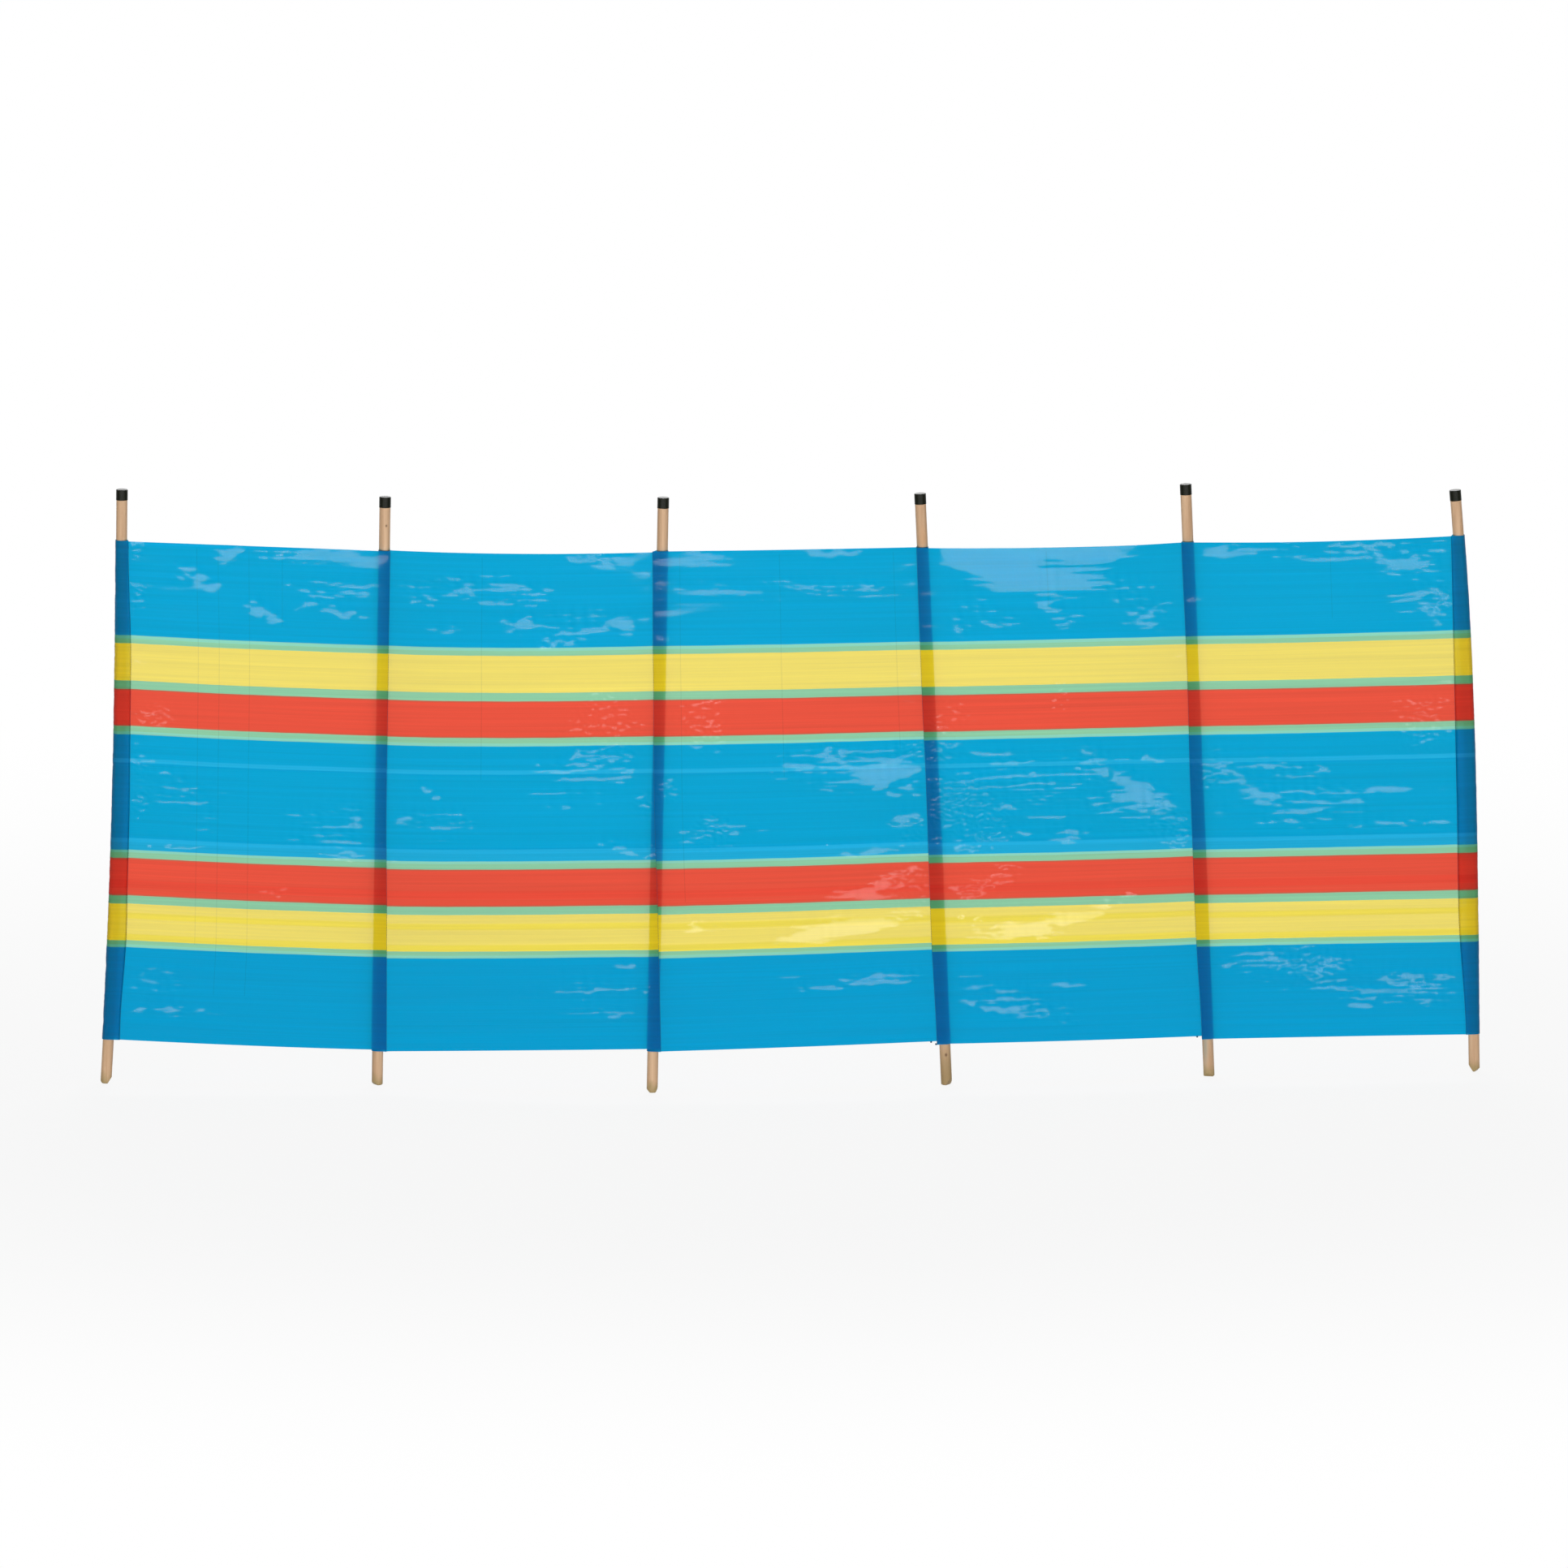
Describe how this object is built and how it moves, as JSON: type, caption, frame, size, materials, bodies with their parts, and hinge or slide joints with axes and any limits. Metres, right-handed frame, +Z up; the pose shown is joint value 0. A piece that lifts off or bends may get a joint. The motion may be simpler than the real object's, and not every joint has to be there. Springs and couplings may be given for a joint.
{
  "type": "beach windbreak",
  "caption": "Striped plastic film windbreak on round wooden poles that stand in the ground, with the film sewn into a pocket at each pole.",
  "frame": {"origin": "on the flat tip of the left end pole's foot, at ground level", "axes": "+X along the row of poles, towards the right as seen from the front; +Y to the back; +Z up"},
  "size_m": [2.7562, 0.272, 1.2012],
  "materials": {
    "pole_wood": "bare softwood, satin",
    "cap_plastic": "matt black",
    "film": "glossy thin film"
  },
  "bodies": {
    "root": {"pole_1": "pole_wood", "pole_2": "pole_wood", "pole_3": "pole_wood", "pole_4": "pole_wood", "pole_5": "pole_wood", "pole_6": "pole_wood", "cap_1": "cap_plastic", "cap_2": "cap_plastic", "cap_3": "cap_plastic", "cap_4": "cap_plastic", "cap_5": "cap_plastic", "cap_6": "cap_plastic", "pocket_1": "film", "pocket_2": "film", "pocket_3": "film", "pocket_4": "film", "pocket_5": "film", "pocket_6": "film", "bay_1": "film", "bay_2": "film", "bay_3": "film", "bay_4": "film", "bay_5": "film"}
  },
  "joints": []
}
